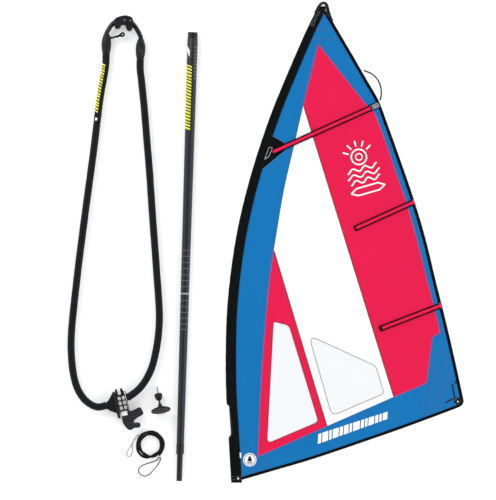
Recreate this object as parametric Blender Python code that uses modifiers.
"""Windsurf rig kit, unassembled and laid flat: sail, boom, mast section, mast foot and uphaul rope.

Metres, +Z up. The floor is z = 0 and the origin is the middle of the kit's plan box. The sail's
head and the boom's tail point to +Y. The boom, mast section, foot and rope lie on the sail's -X
side, along its luff; the leech is its +X edge. Outlines are (x, y) points in plan unless noted.
"""

import math

import bmesh
import bpy
from mathutils import Matrix, Vector

SMOOTH_ANGLE = math.radians(40)  # sharper edges stay sharp, and are the ones bevelled
LAYER_GAP = 0.0003  # air between pieces that lie on each other
FLOOR_GAP = 0.0002

for stale in list(bpy.data.objects):
    bpy.data.objects.remove(stale, do_unlink=True)

kit = bpy.data.collections.new("windsurf_rig_kit")
cutters = bpy.data.collections.new("cutters")
for collection in (kit, cutters):
    bpy.context.scene.collection.children.link(collection)
cutters.hide_render = True


# ---------------------------------------------------------------- materials

def paint(name, colour, roughness, metallic=0.0):
    made = bpy.data.materials.new(name)
    made.use_nodes = True
    shader = made.node_tree.nodes["Principled BSDF"]
    shader.inputs["Base Color"].default_value = (*colour, 1.0)
    shader.inputs["Roughness"].default_value = roughness
    shader.inputs["Metallic"].default_value = metallic
    made.diffuse_color = (*colour, 1.0)
    return made


def grey(name, level, roughness, metallic=0.0):
    return paint(name, (level, level, level), roughness, metallic)


blue_cloth = paint("blue_cloth", (0.009, 0.198, 0.516), roughness=0.55)
red_cloth = paint("red_cloth", (0.84, 0.014, 0.08), roughness=0.55)
white_cloth = grey("white_cloth", 0.88, roughness=0.55)
black_cloth = grey("black_cloth", 0.006, roughness=0.8)
film = paint("window_film", (0.85, 0.88, 0.92), roughness=0.12)
fitting = paint("sail_fitting", (0.25, 0.26, 0.28), roughness=0.4)
thin_line = grey("thin_line", 0.01, roughness=0.7)
webbing = grey("webbing", 0.006, roughness=0.75)
eyelet_metal = paint("eyelet_metal", (0.75, 0.73, 0.68), roughness=0.3, metallic=1.0)
arm_alloy = paint("arm_tube", (0.02, 0.02, 0.022), roughness=0.35, metallic=0.6)
grip_foam = paint("grip", (0.012, 0.012, 0.013), roughness=0.9)
tail_alloy = paint("tail_tube", (0.012, 0.012, 0.014), roughness=0.3, metallic=0.4)
moulded = grey("moulded_black", 0.006, roughness=0.5)
clip_rubber = paint("clip_rubber", (0.008, 0.009, 0.016), roughness=0.6)
liner_white = paint("liner_white", (0.85, 0.85, 0.84), roughness=0.45)
clamp_grey = paint("clamp_grey", (0.035, 0.035, 0.037), roughness=0.45)
jaw_pin_metal = grey("jaw_pin", 0.6, roughness=0.3, metallic=1.0)
laminate = paint("mast_laminate", (0.014, 0.015, 0.02), roughness=0.3)
foot_rubber = grey("foot_rubber", 0.01, roughness=0.75)
joint_material = grey("joint_core", 0.03, roughness=0.6)
steel = paint("steel", (0.55, 0.55, 0.56), roughness=0.25, metallic=1.0)
rope_material = grey("rope", 0.008, roughness=0.85)
loop_cord = grey("loop_cord", 0.05, roughness=0.8)
pull_cord = grey("pull_cord", 0.5, roughness=0.8)


# ---------------------------------------------------------------- points and curves

def lift(points, z):
    """Plan points raised to a height."""
    return [Vector((x, y, z)) for x, y in points]


def smooth(points, per):
    """A Catmull-Rom curve through the points, with this many steps from each to the next."""
    points = [Vector(point) for point in points]
    ends = [2 * points[0] - points[1]] + points + [2 * points[-1] - points[-2]]
    out = []
    for a, b, c, d in zip(ends, ends[1:], ends[2:], ends[3:]):
        for k in range(per):
            t = k / per
            linear = (c - a) * t
            square = (2 * a - 5 * b + 4 * c - d) * t**2
            cubic = (3 * b - a - 3 * c + d) * t**3
            out.append(0.5 * (2 * b + linear + square + cubic))
    return out + [points[-1]]


def smooth_loop(points, per):
    """The curve through the points and back to the first, without its repeated end."""
    return smooth(points + points[:1], per)[:-1]


def along(table, key):
    """Smooth value of a table of (key, value) rows, sorted by key."""
    i = max(0, min(len(table) - 2, sum(key > row[0] for row in table) - 1))
    (k0, v0), (k1, v1) = table[i], table[i + 1]
    before = table[i - 1] if i else (2 * k0 - k1, 2 * v0 - v1)
    after = table[i + 2] if i + 2 < len(table) else (2 * k1 - k0, 2 * v1 - v0)
    slope0 = (v1 - before[1]) / (k1 - before[0]) * (k1 - k0)
    slope1 = (after[1] - v0) / (after[0] - k0) * (k1 - k0)
    t = (key - k0) / (k1 - k0)
    return (
        (2 * t**3 - 3 * t**2 + 1) * v0
        + (t**3 - 2 * t**2 + t) * slope0
        + (3 * t**2 - 2 * t**3) * v1
        + (t**3 - t**2) * slope1
    )


def corners(loop):
    """Each point of a closed loop with its neighbours: before, here, after."""
    return zip(loop[-1:] + loop[:-1], loop, loop[1:] + loop[:1])


def area(loop):
    """Signed area, positive when the loop runs anticlockwise."""
    return 0.5 * sum(a[0] * b[1] - b[0] * a[1] for a, b in zip(loop, loop[1:] + loop[:1]))


def inset(loop, distance):
    """The loop moved inwards by a distance, or outwards by a negative one."""
    loop = [Vector(point) for point in loop]
    if area(loop) < 0:
        loop = loop[::-1]
    out = []
    for before, here, after in corners(loop):
        arriving, leaving = (here - before).normalized(), (after - here).normalized()
        n, m = Vector((-arriving.y, arriving.x)), Vector((-leaving.y, leaving.x))
        # The floor keeps a very sharp corner from shooting out
        out.append(here + (n + m) * distance / max(0.35, 1 + n.dot(m)))
    return out


def rounded(loop, sizes, steps=4):
    """The loop with a curve at each corner, starting this far from it; one size, or one each."""
    loop = [Vector(point) for point in loop]
    sizes = sizes if isinstance(sizes, tuple) else (sizes,) * len(loop)
    out = []
    for (before, here, after), size in zip(corners(loop), sizes):
        a = here + (before - here).normalized() * size
        b = here + (after - here).normalized() * size
        for k in range(steps + 1):
            t = k / steps
            out.append(a * (1 - t) ** 2 + here * 2 * t * (1 - t) + b * t**2)
    return out


def circle(centre, radius, steps=20):
    turns = [2 * math.pi * k / steps for k in range(steps)]
    return [
        Vector((centre[0] + radius * math.cos(turn), centre[1] + radius * math.sin(turn)))
        for turn in turns
    ]


def path_length(path):
    return sum((b - a).length for a, b in zip(path, path[1:]))


def length_to(path, distance):
    """The path as far as a distance from its start."""
    out, done = [path[0]], 0.0
    for a, b in zip(path, path[1:]):
        step = (b - a).length
        if done + step >= distance:
            return out + [a.lerp(b, (distance - done) / step)]
        out.append(b)
        done += step
    return out


def trimmed(path, start, end):
    """The path without its first and last stretches."""
    cut = length_to(path, path_length(path) - end)[::-1]
    return length_to(cut, path_length(cut) - start)[::-1]


def placement(x, y, z, origin):
    """A matrix from three axes and an origin."""
    return Matrix((*zip(x, y, z, origin), (0, 0, 0, 1)))


def frame(origin, up, side=Vector((0, 0, 1))):
    """A placement whose local Z is up and whose local X is as near side as it can be."""
    up = up.normalized()
    x = (side - up * side.dot(up)).normalized()
    return placement(x, up.cross(x), up, origin)


# ---------------------------------------------------------------- solids

def finish(obj, material, group):
    group.objects.link(obj)
    if material:
        obj.data.materials.clear()
        obj.data.materials.append(material)
    return obj


def from_curve(name, data, splines, cyclic, z, material, group):
    """The solid of a curve through (x, y, z) points, its caps welded, with its origin at z."""
    for places in splines:
        spline = data.splines.new("POLY")
        spline.points.add(len(places) - 1)
        for point, place in zip(spline.points, places):
            point.co = (*place, 1)
        spline.use_cyclic_u = cyclic
    source = bpy.data.objects.new(name + "_curve", data)
    source.location.z = z
    bpy.context.scene.collection.objects.link(source)
    bpy.context.view_layer.update()
    graph = bpy.context.evaluated_depsgraph_get()
    mesh = bpy.data.meshes.new_from_object(source.evaluated_get(graph))
    mesh.name = name
    work = bmesh.new()
    work.from_mesh(mesh)
    bmesh.ops.remove_doubles(work, verts=work.verts, dist=1e-6)
    bmesh.ops.recalc_face_normals(work, faces=work.faces)
    if work.calc_volume(signed=True) < 0:
        bmesh.ops.reverse_faces(work, faces=work.faces)
    work.to_mesh(mesh)
    work.free()
    place = source.matrix_world.copy()
    bpy.data.objects.remove(source, do_unlink=True)
    made = bpy.data.objects.new(name, mesh)
    made.matrix_world = place
    return finish(made, material, group)


def plate(name, loops, low, high, material=None, bevel=0.0, group=kit, segments=2):
    """A flat outline, with any further loops as holes in it, from one height to another."""
    data = bpy.data.curves.new(name, "CURVE")
    data.dimensions, data.fill_mode = "2D", "BOTH"
    data.extrude = (high - low) / 2
    splines = [[(point[0], point[1], 0) for point in loop] for loop in loops]
    made = from_curve(name, data, splines, True, (low + high) / 2, material, group)
    if bevel:
        rounding = made.modifiers.new("Bevel", "BEVEL")
        rounding.width, rounding.segments = bevel, segments
        rounding.limit_method, rounding.angle_limit = "ANGLE", SMOOTH_ANGLE
        rounding.use_clamp_overlap = True
    return made


def tube(name, path, radius, material=None, resolution=4, group=kit, cyclic=False):
    """A solid round rod along a path, with flat ends."""
    data = bpy.data.curves.new(name, "CURVE")
    data.dimensions = "3D"
    data.bevel_depth, data.bevel_resolution = radius, resolution
    data.use_fill_caps = not cyclic
    made = from_curve(name, data, [path], cyclic, 0.0, material, group)
    made.data.shade_smooth()
    made.data.set_sharp_from_angle(angle=SMOOTH_ANGLE)
    return made


def turned(name, profile, place, material=None, steps=24, group=kit):
    """A profile of (radius, height) turned about local Z, closed unless it starts on the axis."""
    edges = [(i, i + 1) for i in range(len(profile) - 1)]
    if profile[0][0] > 0:
        edges.append((len(profile) - 1, 0))
    mesh = bpy.data.meshes.new(name)
    mesh.from_pydata([(r, 0, z) for r, z in profile], edges, [])
    made = bpy.data.objects.new(name, mesh)
    made.matrix_world = place
    spin = made.modifiers.new("Screw", "SCREW")
    spin.axis, spin.angle = "Z", 2 * math.pi
    spin.steps = spin.render_steps = steps
    spin.use_merge_vertices, spin.merge_threshold = True, 0.00002
    spin.use_smooth_shade = True
    return finish(made, material, group)


def rod(name, radius, half, place, material=None, steps=12, group=cutters):
    """A cylinder about local Z, reaching half its length to each side of its middle."""
    profile = [(0, half), (radius, half), (radius, -half), (0, -half)]
    return turned(name, profile, place, material, steps, group)


def boolean(obj, tool, how="DIFFERENCE"):
    """Cuts the tool from the object, or joins it."""
    made = obj.modifiers.new(how.title() + "_" + tool.name, "BOOLEAN")
    made.operation, made.object, made.solver = how, tool, "EXACT"
    tool.hide_render, tool.display_type = True, "WIRE"


# ---------------------------------------------------------------- sail edges

SEAM_GAP = 0.00025  # each panel is trimmed back by this at its seams
CLOTH = 0.0015  # panel thickness, laminate and seam allowance together
TAPE_TOP = 0.0026
LEECH_TAPE, FOOT_TAPE = 0.0155, 0.013  # widths along X and along Y
SLEEVE_TOP, SLEEVE_WALL = 0.0080, 0.0015
SLEEVE_WIDTH, SLEEVE_TAPER = 0.04912, 0.0034  # width at y = 0, and its loss per metre of y
SLEEVE_SIDE = 0.0045  # cloth at the sleeve's sides, in plan

# (y, x) rows, from the foot up
LUFF = [
    (-1.20316, -0.17224), (-0.97816, -0.18524), (-0.73816, -0.19824), (-0.53816, -0.19974),
    (-0.33816, -0.19324), (-0.13816, -0.17324), (0.06184, -0.14124), (0.26184, -0.09474),
    (0.46184, -0.03574), (0.66184, 0.03426), (0.86184, 0.11676), (1.06184, 0.20426),
    (1.15184, 0.24826), (1.18184, 0.26076),
]
LEECH = [
    (-0.78316, 0.98826), (-0.58816, 0.94576), (-0.38816, 0.89926), (-0.18816, 0.84926),
    (0.01184, 0.80076), (0.21184, 0.74176), (0.41184, 0.67326), (0.61184, 0.60176),
    (0.71184, 0.56326), (0.81184, 0.50576), (0.91184, 0.44826), (1.11184, 0.33076),
]
# (x, y) rows, from the tack to the clew
FOOT = [
    (-0.17224, -1.20316), (-0.12324, -1.18866), (0.04926, -1.13816), (0.21926, -1.08816),
    (0.37076, -1.03816), (0.51676, -0.98816), (0.65926, -0.93816), (0.79676, -0.88816),
    (0.92926, -0.83816), (0.96676, -0.82416),
]

# Stations shared by the pieces that meet along an edge: y, y and x
LUFF_Y = [
    -1.18966, -1.14816, -1.10716, -0.99816, -0.88816, -0.78816, -0.68816, -0.58816, -0.48816,
    -0.38816, -0.28816, -0.18816, -0.08816, 0.01184, 0.11184, 0.21184, 0.30184, 0.36434,
    0.46184, 0.53184, 0.58184, 0.65184, 0.72184, 0.79184, 0.86184, 0.93184, 1.00184, 1.06184,
    1.10184, 1.14184,
]
LEECH_Y = [
    -0.78616, -0.72816, -0.65816, -0.58816, -0.51816, -0.44816, -0.38816, -0.30816, -0.22816,
    -0.14816, -0.06816, 0.01184, 0.09184, 0.17184, 0.25184, 0.33184, 0.41184, 0.48184, 0.55184,
    0.61184, 0.65184, 0.68184, 0.71184, 0.74184, 0.77184, 0.81184, 0.85184, 0.91184, 0.97184,
    1.04184, 1.10184,
]
FOOT_X = [
    -0.11824, -0.06824, -0.00824, 0.05176, 0.12176, 0.19176, 0.26176, 0.33176, 0.40176,
    0.47176, 0.54176, 0.61176, 0.68176, 0.74176, 0.78676, 0.85176, 0.92676,
]
LUFF_LOW, LUFF_HIGH = LUFF_Y[0], LUFF_Y[-1]
LEECH_LOW, LEECH_HIGH = LEECH_Y[0], LEECH_Y[-1]
FOOT_START, FOOT_END = FOOT_X[0], FOOT_X[-1]
LEECH_SPLIT, FOOT_SPLIT = -0.44816, 0.78676  # where the clew panel begins on each edge


def luff(y):
    return along(LUFF, y)


def sleeve_in(y):
    return luff(y) + SLEEVE_WIDTH - SLEEVE_TAPER * y


def leech(y):
    return along(LEECH, y)


def leech_in(y):
    return leech(y) - LEECH_TAPE


def foot(x):
    return along(FOOT, x)


def foot_in(x):
    return foot(x) + FOOT_TAPE


def between(stations, start, end):
    """The stations from start to end, in that direction."""
    found = [v for v in stations if min(start, end) <= v <= max(start, end)]
    return found[::-1] if start > end else found


def luff_run(line, start, end):
    return [(line(y), y) for y in between(LUFF_Y, start, end)]


def leech_run(line, start, end):
    return [(line(y), y) for y in between(LEECH_Y, start, end)]


def foot_run(line, start, end):
    return [(x, line(x)) for x in between(FOOT_X, start, end)]


def sleeve_point(y):
    return sleeve_in(y), y


def beside_luff(rows):
    """Points from (y, offset to +X of the luff) rows."""
    return [(luff(y) + offset, y) for y, offset in rows]


# ---------------------------------------------------------------- sail panels

HEAD, HEAD_RIGHT, APEX = (0.28976, 1.13684), (0.29876, 1.13584), (0.26276, 0.99184)
RED_RIGHT = [
    APEX, (0.40426, 0.81184), (0.50426, 0.68784), (0.54326, 0.65084), (0.60176, 0.49684),
    (0.66426, 0.31184), (0.70176, 0.20684), (0.75676, 0.01184), (0.80676, -0.18816),
    (0.83376, -0.28816), (0.86526, -0.41816), (0.86976, -0.45266),
]
CLEW_SEAM = [(0.83376, -0.47466), (0.80476, -0.70466)]
CLEW_CORNER = [(0.96976, -0.80516), (0.95776, -0.81416)]
WHITE_TOP, WHITE_LEFT = (0.18726, 0.68334), (0.04076, -0.03516)
WHITE_LOW, WHITE_RIGHT = (0.30776, -0.91816), (0.63976, -0.77316)
LUFF_SEAM = [
    WHITE_LEFT, (0.01926, -0.18816), (0.00026, -0.38816), (-0.01524, -0.58816),
    (-0.02674, -0.78816), (-0.03524, -0.98816), (-0.03724, -1.07066),
]
UPPER_SEAM = [
    WHITE_TOP, (0.13676, 0.46184), (0.10176, 0.31184), (0.08176, 0.21184), (0.05676, 0.06184),
    WHITE_LEFT,
]
PATCH = [sleeve_point(0.36434), (0.09926, 0.46184), (0.09476, 0.49684), sleeve_point(0.53184)]
FRONT_WINDOW = [
    (0.03876, -0.39616), (0.11676, -0.41416), (0.26376, -0.89716), (0.00626, -1.00616),
]
REAR_WINDOW = [
    (0.21576, -0.46316), (0.55076, -0.61616), (0.59276, -0.75616), (0.32876, -0.87416),
]
CLEW_AT, OUTHAUL_AT = (0.96076, -0.79566), (0.94876, -0.69916)
EYELET_HOLE_R = 0.0064
OUTHAUL_SCALE = 0.6  # size of the outhaul eyelet against the clew's


def panel(name, points, material, holes=(), top=CLOTH):
    """A cloth panel on the floor, trimmed back at its seams."""
    loops = [inset(points, SEAM_GAP)] + [inset(hole, -SEAM_GAP) for hole in holes]
    plate(name, loops, 0.0, top, material)


front_window = rounded(FRONT_WINDOW, (0.012, 0.022, 0.020, 0.030))
rear_window = rounded(REAR_WINDOW, (0.038, 0.022, 0.022, 0.032))

panel("luff_panel", [
    HEAD, APEX, *UPPER_SEAM, *LUFF_SEAM[1:], *luff_run(sleeve_in, -1.10716, 0.30184),
    *PATCH, *luff_run(sleeve_in, 0.58184, 1.10184),
], blue_cloth)
panel("leech_panel", [
    HEAD, HEAD_RIGHT, *leech_run(leech_in, LEECH_HIGH, LEECH_SPLIT), *RED_RIGHT[::-1],
], blue_cloth)
panel("red_main_panel", [*RED_RIGHT, *CLEW_SEAM, WHITE_RIGHT, WHITE_TOP], red_cloth)
panel("white_panel", [WHITE_TOP, WHITE_RIGHT, WHITE_LOW, *UPPER_SEAM[:0:-1]], white_cloth,
      [rear_window])
panel("red_front_panel", [WHITE_LEFT, WHITE_LOW, *LUFF_SEAM[:0:-1]], red_cloth, [front_window])
panel("foot_panel", [
    sleeve_point(-1.10716), LUFF_SEAM[-1], WHITE_LOW, WHITE_RIGHT, CLEW_SEAM[1],
    *foot_run(foot_in, FOOT_SPLIT, FOOT_START), sleeve_point(-1.14816),
], blue_cloth)
panel("clew_panel", [
    RED_RIGHT[-1], *leech_run(leech_in, LEECH_SPLIT, LEECH_LOW), *CLEW_CORNER,
    *foot_run(foot_in, FOOT_END, FOOT_SPLIT), *CLEW_SEAM[::-1],
], blue_cloth, [
    circle(CLEW_AT, EYELET_HOLE_R),
    circle(OUTHAUL_AT, EYELET_HOLE_R * OUTHAUL_SCALE, 14),
])
panel("batten_patch", [*PATCH, sleeve_point(0.46184)], black_cloth)
for name, outline in (("front_window", front_window), ("rear_window", rear_window)):
    plate(name, [inset(outline, SEAM_GAP)], LAYER_GAP, 0.0011, film)

# Luff sleeve: a flattened tube of cloth, open at the tack and at the boom cut-out
SLEEVE_FOOT_Y = LUFF[0][0]
HOLLOW_END_Y = -1.21816  # past the sleeve's foot, to open it
sleeve = plate("luff_sleeve", [inset([
    (luff(1.17934), 1.17934),
    *luff_run(luff, LUFF_HIGH, -0.68816),
    *beside_luff([(-0.81116, 0), (-0.82066, 0.0115), (-0.95966, 0.013), (-0.98116, 0),
                  (-1.08816, 0), (SLEEVE_FOOT_Y, 0)]),
    *luff_run(sleeve_in, LUFF_LOW, LUFF_HIGH),
    (0.29076, 1.16384), (0.27876, 1.18484),
], SEAM_GAP)], 0.0, SLEEVE_TOP, black_cloth, bevel=0.0022, segments=1)
boolean(sleeve, plate("sleeve_hollow", [[
    *luff_run(lambda y: luff(y) + SLEEVE_SIDE, 1.06184, -0.78816),
    *beside_luff([(-0.82816, -0.006), (-0.95816, -0.006), (-0.99816, SLEEVE_SIDE)]),
    (luff(SLEEVE_FOOT_Y) + SLEEVE_SIDE, HOLLOW_END_Y),
    (sleeve_in(SLEEVE_FOOT_Y) - SLEEVE_SIDE, HOLLOW_END_Y),
    *luff_run(lambda y: sleeve_in(y) - SLEEVE_SIDE, LUFF_LOW, 1.06184),
]], SLEEVE_WALL, SLEEVE_TOP - SLEEVE_WALL, group=cutters))

panel("leech_tape", [
    (0.30676, 1.15084), *leech_run(leech, LEECH_HIGH, LEECH_LOW),
    *leech_run(leech_in, LEECH_LOW, LEECH_HIGH), HEAD_RIGHT,
], black_cloth, top=TAPE_TOP)
panel("foot_tape", [
    *foot_run(foot, FOOT_START, FOOT_END),
    (0.96676, -0.82466), (0.98276, -0.81416), (0.98976, -0.78716), (0.97326, -0.78716),
    *CLEW_CORNER, *foot_run(foot_in, FOOT_END, FOOT_START),
], black_cloth, top=TAPE_TOP)

# ---------------------------------------------------------------- battens

POCKET_LOW, POCKET_HIGH, POCKET_WALL, POCKET_WIDTH = 0.0029, 0.0073, 0.0009, 0.027
BATTEN_LOW, BATTEN_HIGH, BATTEN_WIDTH = 0.0042, 0.0060, 0.021
# Name, luff end, leech end
BATTENS = [
    ("upper", (0.03626, 0.45184), (0.52476, 0.67134)),
    ("middle", (0.44626, 0.06884), (0.74426, 0.20334)),
    ("lower", (0.57176, -0.43216), (0.87726, -0.31466)),
]


def batten(name, inner, outer):
    """A pocket open at its leech end, with its batten inside."""
    inner, outer = Vector(inner), Vector(outer)
    lengthways = (outer - inner).normalized()
    sideways = Vector((-lengthways.y, lengthways.x))

    def strip(past_inner, past_outer, width):
        start, end = inner + lengthways * past_inner, outer + lengthways * past_outer
        half = sideways * width / 2
        return [start + half, start - half, end - half, end + half]

    pocket = plate("batten_pocket_" + name, [strip(0, 0, POCKET_WIDTH)], POCKET_LOW,
                   POCKET_HIGH, red_cloth)
    boolean(pocket, plate("pocket_hollow_" + name,
                          [strip(0.004, 0.02, POCKET_WIDTH - 2 * POCKET_WALL)],
                          POCKET_LOW + POCKET_WALL, POCKET_HIGH - POCKET_WALL, group=cutters))
    plate("batten_" + name, [rounded(strip(0.007, 0.001, BATTEN_WIDTH), 0.004, 2)],
          BATTEN_LOW, BATTEN_HIGH, paint("batten_" + name, (0.75, 0.75, 0.7), roughness=0.35))


for row in BATTENS:
    batten(*row)

# ---------------------------------------------------------------- sail fittings

HEAD_WEBBING_OUTER = [
    (0.26476, 1.18234), (0.27276, 1.19484), (0.28976, 1.20234), (0.30626, 1.19384),
    (0.31476, 1.16984), (0.32376, 1.14684),
]
HEAD_WEBBING_INNER = [
    (0.30976, 1.14684), (0.30376, 1.16884), (0.29676, 1.18384), (0.28876, 1.18684),
    (0.28126, 1.17884), (0.27776, 1.16984),
]
BUCKLE = [(0.01476, 0.47384), (0.03326, 0.47384), (0.01676, 0.42984), (-0.00524, 0.41484)]
TENSIONER = [(0.52876, 0.68534), (0.56026, 0.69934), (0.56976, 0.67884), (0.53776, 0.66434)]
TENSION_LINE = [
    (0.57376, 0.71084), (0.57776, 0.73684), (0.57676, 0.76684), (0.56776, 0.79884),
    (0.55076, 0.82484), (0.52676, 0.84484), (0.49176, 0.85884),
]
CLEW_PATCH = [(0.94176, -0.79616), (0.96076, -0.81516), (0.97976, -0.79316), (0.96276, -0.77516)]
CLEW_PATCH_TOP = TAPE_TOP + 0.0015
CLEW_WEBBING = [
    (0.92926, -0.70916), (0.93526, -0.70766), (0.94876, -0.78016), (0.89976, -0.80216),
    (0.89726, -0.79666), (0.94226, -0.77616),
]
TACK_EYELET_AT, BADGE_AT = (-0.13724, -1.18016), (-0.07924, -1.08666)

plate("head_webbing", [smooth(HEAD_WEBBING_OUTER, 4) + smooth(HEAD_WEBBING_INNER, 4)],
      0.0084, 0.0110, black_cloth)
plate("batten_buckle", [rounded(BUCKLE, 0.003, 2), inset(BUCKLE, 0.0032)],
      SLEEVE_TOP + LAYER_GAP, SLEEVE_TOP + 0.0026, fitting)
plate("batten_tensioner", [rounded(TENSIONER, 0.004, 3)], TAPE_TOP + LAYER_GAP, 0.0068,
      fitting, bevel=0.0012)
tube("tension_line", smooth(lift(TENSION_LINE, 0.0022), 4), 0.0020, thin_line, resolution=1)
plate("clew_patch", [CLEW_PATCH, circle(CLEW_AT, EYELET_HOLE_R)], TAPE_TOP + LAYER_GAP,
      CLEW_PATCH_TOP, webbing)
plate("clew_webbing", [CLEW_WEBBING], CLOTH + LAYER_GAP, CLOTH + 0.0018, webbing)


def eyelet(name, centre, low, deck, scale):
    """A rolled ring on the deck height, with its barrel reaching down to low."""
    flange, barrel, bore = 0.0098 * scale, 0.0060 * scale, 0.0046 * scale
    top = deck + LAYER_GAP
    profile = [
        (bore + 0.0006, top + 0.0016), (barrel, top + 0.0018), (flange - 0.0008, top + 0.0010),
        (flange, top + 0.0003), (flange, top), (barrel, top), (barrel, low), (bore, low),
        (bore, top + 0.0012),
    ]
    turned(name, profile, Matrix.Translation((*centre, 0)), eyelet_metal, 20)


eyelet("clew_grommet", CLEW_AT, LAYER_GAP, CLEW_PATCH_TOP, 1.0)
eyelet("outhaul_grommet", OUTHAUL_AT, LAYER_GAP, CLOTH, OUTHAUL_SCALE)
eyelet("tack_grommet", TACK_EYELET_AT, SLEEVE_TOP + LAYER_GAP, SLEEVE_TOP, 0.85)
plate("tack_badge", [circle(BADGE_AT, 0.0335, 32)], CLOTH + LAYER_GAP, CLOTH + 0.0011,
      white_cloth)

# ---------------------------------------------------------------- boom arms

BOOM_Z = 0.030  # height of the boom's mid plane
ARM_R, ARM_BORE_R, GRIP_R, GRIP_BORE_R = 0.0145, 0.0124, 0.0182, 0.0148
TUBE_CLEARANCE = 0.0004
SLIDE_LEAN = 0.026  # sideways run of the straight legs per unit of length
LEG_AT = {"left": (-0.79674, 0.94184), "right": (-0.62574, 0.92684)}  # a point on each axis
CLIP_Y = {"left": 0.98934, "right": 0.96434}
MOUTH = 0.0195  # from a clip's middle to the end of its arm, towards +Y
GRIP_START = MOUTH + 0.0508  # bare arm before the grip
GRIP_END = {"left": 0.020, "right": 0.022}  # bare arm after it, at the boom head

vertical = Vector((0, 0, 1))
slide = Vector((SLIDE_LEAN, 1, 0)).normalized()
across = Vector((slide.y, -slide.x, 0))


def leg(side, y):
    """The plan point of a straight leg's axis at this y."""
    leg_x, leg_y = LEG_AT[side]
    return leg_x + SLIDE_LEAN * (y - leg_y), y


# Arm axes, from the straight leg to the boom head
ARM_BENDS = {
    "left": [
        leg("left", 0.89684), (-0.80074, 0.86684), (-0.80624, 0.83434), (-0.81324, 0.79684),
        (-0.82224, 0.74684), (-0.83374, 0.66684), (-0.85324, 0.50184), (-0.87174, 0.36184),
        (-0.90674, 0.10184), (-0.93224, -0.09816), (-0.95424, -0.28816), (-0.96874, -0.43816),
        (-0.97124, -0.53816), (-0.96224, -0.64316), (-0.94224, -0.72316), (-0.91124, -0.77616),
        (-0.87824, -0.80616), (-0.84174, -0.82166), (-0.80824, -0.81766), (-0.77524, -0.80416),
    ],
    "right": [
        leg("right", 0.87684), (-0.62524, 0.84934), (-0.62124, 0.81684), (-0.61674, 0.77684),
        (-0.61024, 0.71184), (-0.60424, 0.64684), (-0.59324, 0.51184), (-0.58074, 0.36184),
        (-0.56274, 0.10184), (-0.54774, -0.09816), (-0.53424, -0.28816), (-0.53074, -0.36816),
        (-0.53374, -0.44316), (-0.54424, -0.52316), (-0.56174, -0.60316), (-0.58024, -0.65316),
        (-0.60224, -0.69316), (-0.63074, -0.73016), (-0.66324, -0.75766), (-0.69324, -0.77666),
        (-0.71124, -0.78566),
    ],
}


def boom_arm(side):
    """One arm and its grip, both bored; returns the arm's axis."""
    axis = lift([leg(side, CLIP_Y[side] + MOUTH)] + ARM_BENDS[side], BOOM_Z)
    arm = tube("arm_tube_" + side, axis, ARM_R, arm_alloy)
    bore_axis = [axis[0] + slide * 0.02] + trimmed(axis, 0.002, 0.05)
    boolean(arm, tube("arm_bore_" + side, bore_axis, ARM_BORE_R, group=cutters))
    grip = tube("arm_grip_" + side, trimmed(axis, GRIP_START, GRIP_END[side]), GRIP_R, grip_foam)
    bore_axis = trimmed(axis, GRIP_START - 0.02, 0.010)
    boolean(grip, tube("grip_bore_" + side, bore_axis, GRIP_BORE_R, group=cutters))
    return axis


arm_axes = {side: boom_arm(side) for side in ("left", "right")}

# ---------------------------------------------------------------- boom tail

TAIL_R = 0.0120
CROWN = [
    leg("left", 1.04434), (-0.78324, 1.06384), (-0.76824, 1.08584), (-0.74324, 1.10534),
    (-0.70624, 1.11384), (-0.67724, 1.10284), (-0.65524, 1.08084), (-0.63924, 1.05684),
    (-0.62824, 1.03484), leg("right", 1.01784),
]
TAIL_FITTING = [
    (-0.75324, 1.09684), (-0.75124, 1.11684), (-0.73124, 1.12584), (-0.70424, 1.13234),
    (-0.68024, 1.12834), (-0.66474, 1.11884), (-0.66074, 1.09484), (-0.66524, 1.06984),
    (-0.67324, 1.05584), (-0.69024, 1.05634), (-0.69574, 1.06884), (-0.70024, 1.08234),
    (-0.71324, 1.08534), (-0.72324, 1.07984), (-0.72974, 1.06734), (-0.75024, 1.06684),
    (-0.75424, 1.08084),
]
SHEAVE_AT = {"left": (-0.73974, 1.07884), "right": (-0.68124, 1.06934)}
SHEAVE = [  # (radius, height)
    (0.0084, 0.004), (0.0084, 0.003), (0.0062, 0.0), (0.0084, -0.003), (0.0084, -0.004),
    (0.0029, -0.004), (0.0029, 0.004),
]

tail_axis = [
    *lift([leg("left", 0.90184), leg("left", 1.02684)], BOOM_Z),
    *smooth(lift(CROWN, BOOM_Z), 2),
    *lift([leg("right", 0.99184), leg("right", 0.88184)], BOOM_Z),
]
tube("tail_tube", tail_axis, TAIL_R, tail_alloy)

tail = plate("tail_fitting", [smooth(TAIL_FITTING, 2)], 0.0, 2 * BOOM_Z, moulded,
             bevel=0.003, segments=1)
for side, spot in SHEAVE_AT.items():
    place = Matrix.Translation((*spot, BOOM_Z))
    boolean(tail, rod("sheave_slot_" + side, 0.0098, 0.0046, place, steps=20))
    boolean(tail, rod("sheave_hole_" + side, 0.0028, 0.04, place))
    turned("tail_sheave_" + side, SHEAVE, place, grey("sheave_" + side, 0.2, roughness=0.4), 20)
    rod("sheave_pin_" + side, 0.0025, 0.026, place,
        grey("sheave_pin_" + side, 0.6, roughness=0.3, metallic=1.0), group=kit)
boolean(tail, tube("tail_clearance", tail_axis[1:-1], TAIL_R + TUBE_CLEARANCE, group=cutters))

# ---------------------------------------------------------------- boom clips and levers

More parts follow.
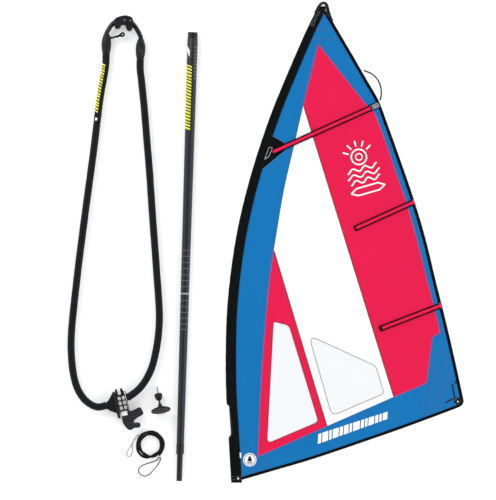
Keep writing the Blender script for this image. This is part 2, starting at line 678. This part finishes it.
CLIP = [  # (radius, height along the leg)
    (0.0136, 0.050), (0.0152, 0.048), (0.0190, 0.036), (0.0228, 0.022), (0.0240, 0.006),
    (0.0238, -0.010), (0.0220, -0.028), (0.0196, -0.042), (0.0186, -0.0500),
    (0.0150, -0.0500), (0.0150, 0.0200), (0.0125, 0.0225), (0.0125, 0.050),
]
POST_UP, POST_OUT = 0.0330, 0.0300  # lever post from the clip's middle
LEVER_POST_R, LEVER_POST_HALF = 0.0024, 0.0105
HUB_R, EAR_HALF, EAR_OFFSET = 0.0055, 0.0022, 0.0095  # offset from the post's middle
EAR_LENGTH = POST_OUT - 0.017
LEVER = [  # (along, sideways) from the post
    (-0.003, -0.0044), (0.009, -0.0050), (0.017, -0.0050), (0.022, -0.0074),
    (0.027, -0.0080), (0.033, -0.0060), (0.039, -0.0076), (0.045, -0.0112),
    (0.052, -0.0124), (0.060, -0.0100), (0.0645, -0.0030), (0.0640, 0.0050),
    (0.0590, 0.0100), (0.051, 0.0112), (0.043, 0.0082), (0.034, 0.0050), (0.022, 0.0046),
    (0.009, 0.0048), (-0.003, 0.0044), (-0.0053, 0.0),
]
LEVER_OPEN, LEVER_LIFT = math.radians(18), math.radians(9)


def ear_block(name, place):
    """A flat block from the place towards its local -Y."""
    block = bmesh.new()
    bmesh.ops.create_cube(block, size=1)
    bmesh.ops.scale(block, vec=(2 * HUB_R, EAR_LENGTH, 2 * EAR_HALF), verts=block.verts)
    bmesh.ops.translate(block, vec=(0, -EAR_LENGTH / 2, 0), verts=block.verts)
    mesh = bpy.data.meshes.new(name)
    block.to_mesh(mesh)
    block.free()
    ear = bpy.data.objects.new(name, mesh)
    ear.matrix_world = place
    return finish(ear, None, cutters)


def boom_clip(side, axis, out):
    """A sleeve over the arm's mouth, with two ears and a post along axis; returns the post."""
    name = "clip_" + side
    middle = Vector((*leg(side, CLIP_Y[side]), BOOM_Z))
    clip = turned(name, CLIP, frame(middle, slide), clip_rubber, 18)
    post = middle + slide * POST_UP + out * POST_OUT
    for end in (-1, 1):
        spot = post + axis * end * EAR_OFFSET
        place = placement(out.cross(axis), out, axis, spot)
        boolean(clip, ear_block(f"{name}_ear_{end}", place), "UNION")
        hub = rod(f"{name}_hub_{end}", HUB_R, EAR_HALF, frame(spot, axis, slide), steps=16)
        boolean(clip, hub, "UNION")
    bar = rod(name + "_post", LEVER_POST_R, LEVER_POST_HALF, frame(post, axis, slide))
    boolean(clip, bar, "UNION")
    return post


def lever(side, post, lengthways, sideways, axis):
    """A bar from its eye at the post to a round pad with a hole in it."""
    loops = [
        smooth_loop(LEVER, 2),
        circle((0, 0), LEVER_POST_R + 0.0003, 12),
        circle((0.0525, -0.0008), 0.0042, 12),
    ]
    made = plate("lever_" + side, loops, -0.0068, 0.0068, moulded, bevel=0.0012, segments=1)
    made.matrix_world = placement(lengthways, sideways, axis, post)


# The left lever stands open in plan; the right one lies back along its leg, tipped up
lever("left", boom_clip("left", vertical, across),
      Vector((math.cos(LEVER_OPEN), math.sin(LEVER_OPEN), 0)),
      Vector((-math.sin(LEVER_OPEN), math.cos(LEVER_OPEN), 0)), vertical)
lying = (-slide * math.cos(LEVER_LIFT) + vertical * math.sin(LEVER_LIFT)).normalized()
lever("right", boom_clip("right", -across, vertical), lying, lying.cross(across), across)

# ---------------------------------------------------------------- boom head

HEAD_MID = Vector((-0.71524, -0.79916))
HEAD_TILT = math.atan2(0.030, 0.132)
HEAD_TOP, LINER_TOP, STRAP_TOP = 0.047, 0.0510, 0.0560
# In the head's tilted frame
HEAD_BODY = [(-0.0295, 0.053), (0.026, 0.053), (0.026, -0.048), (0.018, -0.052), (-0.0295, -0.052)]
HEAD_FLANGE = [(-0.038, 0.061), (-0.026, 0.061), (-0.026, -0.073), (-0.038, -0.073)]
HEAD_LINER = [
    (-0.0245, 0.051), (-0.017, 0.052), (-0.016, 0.062), (0.007, 0.062), (0.009, 0.052),
    (0.0245, 0.051), (0.0245, -0.042), (0.013, -0.046), (0.013, -0.066), (-0.017, -0.066),
    (-0.018, -0.047), (-0.0245, -0.044),
]
LADDER_STRAP = [
    (-0.0235, 0.045), (-0.022, 0.067), (-0.018, 0.075), (-0.012, 0.072), (-0.0125, 0.041),
    (0.0045, 0.041), (0.0035, 0.067), (0.0075, 0.074), (0.0135, 0.070), (0.018, 0.050),
    (0.022, 0.037), (0.0235, -0.0435), (-0.021, -0.0435), (-0.0235, -0.020),
]
CELL_TOPS, CELL_LEFTS = (0.0325, 0.008, -0.0165), (-0.0185, 0.00325)
CELL_WIDTH, CELL_HEIGHT = 0.01575, 0.019
# In plan
HEAD_FUNNEL = [
    (-0.78174, -0.78316), (-0.77524, -0.77016), (-0.76424, -0.75216), (-0.75724, -0.74716),
    (-0.74524, -0.80616), (-0.73724, -0.84916), (-0.75224, -0.84916), (-0.76824, -0.84316),
    (-0.77924, -0.83916), (-0.78374, -0.81016),
]
HEAD_NECK = [
    (-0.79374, -0.79766), (-0.78624, -0.78916), (-0.77324, -0.78116), (-0.76624, -0.80816),
    (-0.76724, -0.83766), (-0.78024, -0.83616), (-0.79124, -0.83316), (-0.79524, -0.81416),
]
HEAD_LUG = [
    (-0.72024, -0.82616), (-0.69324, -0.82616), (-0.69124, -0.86616), (-0.69524, -0.87916),
    (-0.70624, -0.88466), (-0.71624, -0.87816), (-0.72024, -0.86316),
]
LUG_AT = (-0.70374, -0.87266)
JAW_PIN_HOLE_R, JAW_PIN_HOLE_HALF = 0.0030, 0.05


def on_head(points):
    """Plan points from the head's own tilted frame."""
    right = Vector((math.cos(HEAD_TILT), math.sin(HEAD_TILT)))
    up = Vector((-right.y, right.x))
    return [HEAD_MID + right * x + up * y for x, y in points]


def about_boom(name, loop, half):
    """A cutter plate reaching this far above and below the boom's mid plane."""
    return plate(name, [loop], BOOM_Z - half, BOOM_Z + half, group=cutters)


head = plate("head_body", [on_head(HEAD_BODY)], 0.0, HEAD_TOP, moulded)
for piece in (
    plate("head_flange", [on_head(HEAD_FLANGE)], 0.0001, 2 * BOOM_Z, group=cutters),
    about_boom("head_funnel", smooth(HEAD_FUNNEL, 2), 0.0235),
    about_boom("head_neck", smooth(HEAD_NECK, 2), 0.0200),
    about_boom("head_lug", HEAD_LUG, 0.0060),
):
    boolean(head, piece, "UNION")
for side, axis in arm_axes.items():
    # The last stretch of the arm, run on a little past its end
    arm_end = axis[-9:] + [axis[-1] + (axis[-1] - axis[-2]).normalized() * 0.0006]
    boolean(head, tube("arm_clearance_" + side, arm_end, ARM_R + TUBE_CLEARANCE, group=cutters))
    grip_end = trimmed(axis, 1.5, GRIP_END[side] - 0.0007)
    boolean(head, tube("grip_clearance_" + side, grip_end, GRIP_R + TUBE_CLEARANCE,
                       group=cutters))
lug_place = Matrix.Translation((*LUG_AT, BOOM_Z))
boolean(head, rod("jaw_pin_hole", JAW_PIN_HOLE_R, JAW_PIN_HOLE_HALF, lug_place))

plate("head_liner", [on_head(HEAD_LINER)], HEAD_TOP + LAYER_GAP, LINER_TOP, liner_white,
      bevel=0.001)
cells = []
for top in CELL_TOPS:
    for left in CELL_LEFTS:
        right, low = left + CELL_WIDTH, top - CELL_HEIGHT
        cell = on_head([(left, top), (right, top), (right, low), (left, low)])
        cells.append(rounded(cell, 0.002, 2))
plate("ladder_strap", [on_head(LADDER_STRAP), *cells], LINER_TOP + LAYER_GAP, STRAP_TOP,
      moulded, bevel=0.0008, segments=1)

# ---------------------------------------------------------------- boom clamp

JAW_HALF, CLAMP_LEVER_HALF = 0.0150, 0.0070
JAW = [
    (-0.71874, -0.87416), (-0.71224, -0.86016), (-0.69624, -0.85216), (-0.68124, -0.84316),
    (-0.66224, -0.83816), (-0.63374, -0.82366), (-0.62324, -0.82616), (-0.61124, -0.85016),
    (-0.61524, -0.86116), (-0.63824, -0.87416), (-0.65624, -0.88916), (-0.65724, -0.90116),
    (-0.65524, -0.92216), (-0.66624, -0.93416), (-0.68224, -0.93616), (-0.69724, -0.92416),
    (-0.71224, -0.90116),
]
LEVER_FORK = [
    (-0.68924, -0.89516), (-0.64424, -0.89516), (-0.64024, -0.94816), (-0.68924, -0.94816),
]
CLAMP_LEVER_AT = (-0.67474, -0.91466)
CLAMP_LEVER = [
    (-0.68524, -0.91116), (-0.67824, -0.90316), (-0.66224, -0.90116), (-0.63624, -0.89866),
    (-0.62674, -0.90316), (-0.62474, -0.91516), (-0.63124, -0.92416), (-0.65124, -0.92566),
    (-0.66924, -0.92566), (-0.68224, -0.92266),
]

jaw = plate("clamp_jaw", [smooth(JAW, 2)], BOOM_Z - JAW_HALF, BOOM_Z + JAW_HALF, clamp_grey,
            bevel=0.0025, segments=1)
boolean(jaw, about_boom("jaw_fork", circle(LUG_AT, 0.0278), 0.0064))
boolean(jaw, rod("jaw_pin_bore", JAW_PIN_HOLE_R, JAW_PIN_HOLE_HALF, lug_place))
boolean(jaw, about_boom("lever_fork", LEVER_FORK, 0.0074))
lever_place = Matrix.Translation((*CLAMP_LEVER_AT, BOOM_Z))
boolean(jaw, rod("lever_post", 0.0022, 0.0120, lever_place), "UNION")
rod("jaw_pin", 0.0027, JAW_HALF, lug_place, jaw_pin_metal, group=kit)
plate("clamp_lever", [smooth(CLAMP_LEVER, 2), circle(CLAMP_LEVER_AT, 0.0025, 12)],
      BOOM_Z - CLAMP_LEVER_HALF, BOOM_Z + CLAMP_LEVER_HALF, clamp_grey, bevel=0.002)

# ---------------------------------------------------------------- mast section

MAST_R_BASE, MAST_R_TIP, MAST_WALL = 0.0264, 0.0184, 0.0029
MAST_RING_R = 0.0192
mast_base = Vector((-0.36474, 1.01784, MAST_R_BASE + FLOOR_GAP))
mast_tip = Vector((-0.42799, -1.05816, MAST_RING_R + FLOOR_GAP))
mast_length = (mast_tip - mast_base).length
mast_place = frame(mast_base, mast_tip - mast_base)


def mast_r(z):
    return MAST_R_BASE + (MAST_R_TIP - MAST_R_BASE) * z / mast_length


turned("mast_tube", [
    (mast_r(mast_length) + 0.0004, mast_length),
    (MAST_RING_R, mast_length - 0.002),
    (MAST_RING_R, mast_length - 0.052),
    (mast_r(mast_length - 0.06), mast_length - 0.060),
    *((mast_r(mast_length * k / 4), mast_length * k / 4) for k in (3, 2, 1)),
    (MAST_R_BASE, 0.0015),
    (MAST_R_BASE - 0.0012, 0.0),
    *((mast_r(z) - MAST_WALL, z) for z in (0, mast_length / 2, mast_length)),
], mast_place, laminate, 28)
turned("mast_collar", [
    (0.0232, 0.0400), (0.0232, -0.0003), (0.0250, -0.0003), (0.0250, -0.0290),
    (0.0240, -0.0310), (0.0205, -0.0310), (0.0205, 0.0400),
], mast_place, moulded, 28)
FERRULE = [  # (radius, height past the mast's tip)
    (0.0128, 0.1340), (0.0140, 0.1325), (0.0146, 0), (0.0149, -0.100), (0.0112, -0.100),
    (0.0112, 0.1340),
]
turned("mast_ferrule", [(r, mast_length + z) for r, z in FERRULE], mast_place, laminate)

# ---------------------------------------------------------------- mast foot

FOOT_AT = Vector((-0.52224, -0.84116, 0.0482))
FOOT_RIM_R, FOOT_LENGTH = 0.0492, 0.128
FOOT_PITCH = math.radians(19.42)  # the foot lies on its rim and its upper cup's edge
FOOT_TURN = math.radians(10.1)

foot_place = frame(FOOT_AT, Vector((
    -math.sin(FOOT_TURN) * math.cos(FOOT_PITCH),
    math.cos(FOOT_TURN) * math.cos(FOOT_PITCH),
    -math.sin(FOOT_PITCH),
)))
turned("deck_plate", [
    (0, 0.0118), (0.0150, 0.0118), (0.0330, 0.0100), (0.0460, 0.0082), (0.0486, 0.0066),
    (FOOT_RIM_R, 0.0046), (FOOT_RIM_R, 0.0022), (0.0478, 0.0), (0, 0.0),
], foot_place, foot_rubber, 32)
turned("lower_cup", [
    (0, 0.0386), (0.0050, 0.0402), (0.0066, 0.0396), (0.0092, 0.0330), (0.0116, 0.0250),
    (0.0128, 0.0226), (0.0205, 0.0196), (0.0230, 0.0164), (0.0236, 0.0121), (0, 0.0121),
], foot_place, moulded, 20)
turned("joint_core", [
    (0, 0.0528), (0.0034, 0.0518), (0.0052, 0.0498), (0.0058, 0.0470), (0.0052, 0.0442),
    (0.0034, 0.0422), (0, 0.0412),
], foot_place, joint_material, 16)
turned("upper_cup", [
    (0, 0.0700), (0.0040, 0.0700), (0.0040, 0.0900), (0.0182, 0.0900), (0.0198, 0.0880),
    (0.0198, 0.0800), (0.0176, 0.0680), (0.0120, 0.0590), (0.0066, 0.0545),
    (0.0050, 0.0539), (0, 0.0555),
], foot_place, moulded)
turned("base_pin", [
    (0, FOOT_LENGTH), (0.0022, FOOT_LENGTH), (0.0030, FOOT_LENGTH - 0.001),
    (0.0030, 0.0712), (0, 0.0712),
], foot_place, steel, 12)

# ---------------------------------------------------------------- uphaul rope

ROPE_R = 0.0060
COIL_AT = Vector((-0.57624, -1.01216, 0))
WIDE, NARROW, UPPER = 0.0660, 0.0528, 0.0592  # radii of the coil's three turns
UPPER_RISE = 0.0190 - ROPE_R
COIL_START, COIL_SWEEP, COIL_STEP = -52, 1060, 20  # degrees
LARGE_LOOP = [
    (-0.54074, -1.08666), (-0.53574, -1.07716), (-0.52824, -1.07516), (-0.52574, -1.08266),
    (-0.53024, -1.09616), (-0.54124, -1.11416), (-0.56074, -1.13816), (-0.58124, -1.15916),
    (-0.60224, -1.16816), (-0.62174, -1.16216), (-0.63574, -1.14516), (-0.63124, -1.12816),
    (-0.61174, -1.11316), (-0.58324, -1.10316), (-0.55524, -1.09516),
]
PULL_CORD = [
    (-0.63424, -0.96016), (-0.65024, -0.97616), (-0.66374, -0.99616), (-0.66724, -1.01816),
    (-0.66574, -1.04116), (-0.67224, -1.06316), (-0.68524, -1.07116), (-0.69524, -1.06216),
    (-0.69024, -1.04316), (-0.67724, -1.02116),
]


def ease(start, end, value):
    """A smooth step from 0 at start to 1 at end."""
    t = min(1, max(0, (value - start) / (end - start)))
    return 3 * t**2 - 2 * t**3


coil = []
for degrees in range(0, COIL_SWEEP + 1, COIL_STEP):
    r = (WIDE + (NARROW - WIDE) * ease(285, 350, degrees)
         + (UPPER - NARROW) * ease(625, 690, degrees))
    z = ROPE_R + FLOOR_GAP + UPPER_RISE * ease(560, 630, degrees)
    turn = math.radians(COIL_START + degrees)
    coil.append(COIL_AT + Vector((r * math.cos(turn), r * math.sin(turn), z)))
tube("uphaul_rope", coil, ROPE_R, rope_material, resolution=2)
tube("large_loop", smooth_loop(lift(LARGE_LOOP, 0.0028), 3), 0.0026, loop_cord,
     resolution=1, cyclic=True)
tube("pull_cord", smooth(lift(PULL_CORD, 0.0024), 3), 0.0021, pull_cord, resolution=1)
